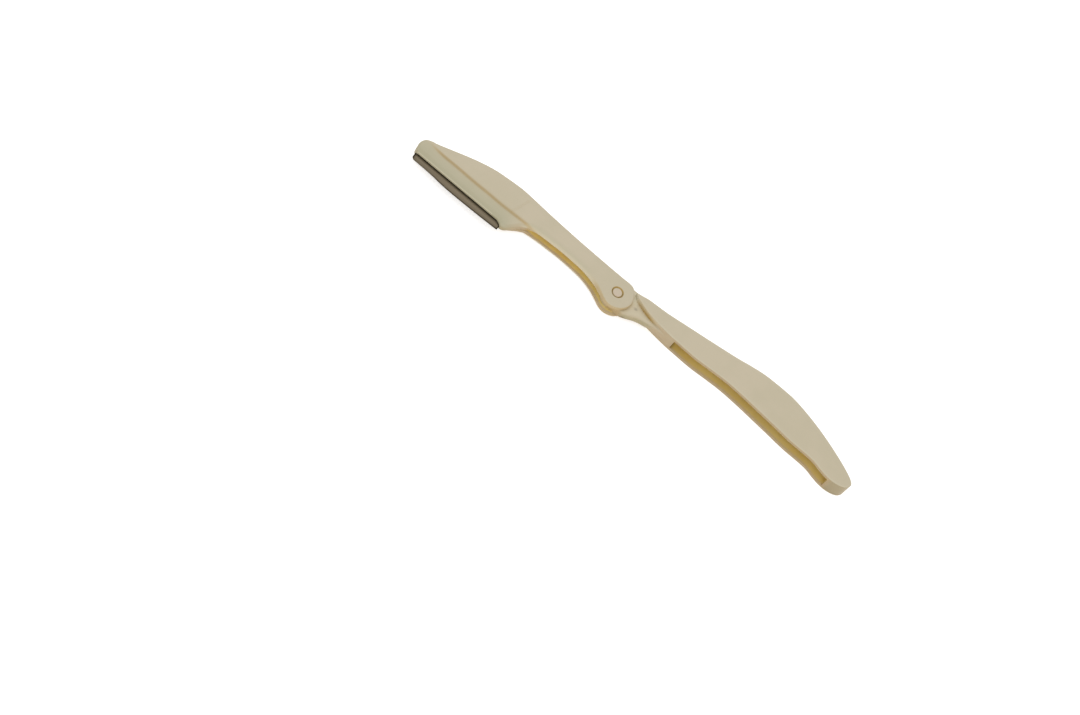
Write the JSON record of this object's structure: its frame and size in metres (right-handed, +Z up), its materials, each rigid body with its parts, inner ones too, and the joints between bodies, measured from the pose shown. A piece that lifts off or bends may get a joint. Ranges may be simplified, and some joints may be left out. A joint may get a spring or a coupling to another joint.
{
  "type": "folding eyebrow razor",
  "caption": "Slim folding eyebrow razor: a slotted handle, a hinged arm with a hollow neck, and a narrow steel blade held in a thin strip.",
  "frame": {"origin": "centre of the outer box on the plane that the razor lies on, with the arm open", "axes": "+X from the tip of the head to the tail of the handle, +Y from the blade side to the spine side, +Z up through the thickness, along the hinge"},
  "size_m": [0.1598, 0.0182, 0.0058],
  "materials": {
    "handle_plastic": "satin moulded",
    "arm_plastic": "satin moulded",
    "pin_plastic": "satin moulded",
    "blade_steel": "ground"
  },
  "bodies": {
    "grip": {"handle": "handle_plastic", "pivot_pin": "pin_plastic"},
    "arm": {"blade_arm": "arm_plastic", "blade": "blade_steel"}
  },
  "joints": [
    {"name": "arm_fold", "type": "hinge", "parent": "grip", "child": "arm", "pos_m": [-0.00785, -0.00124, 0.0029], "axis": [0, 0, 1], "range_deg": [0, 175.5]}
  ]
}
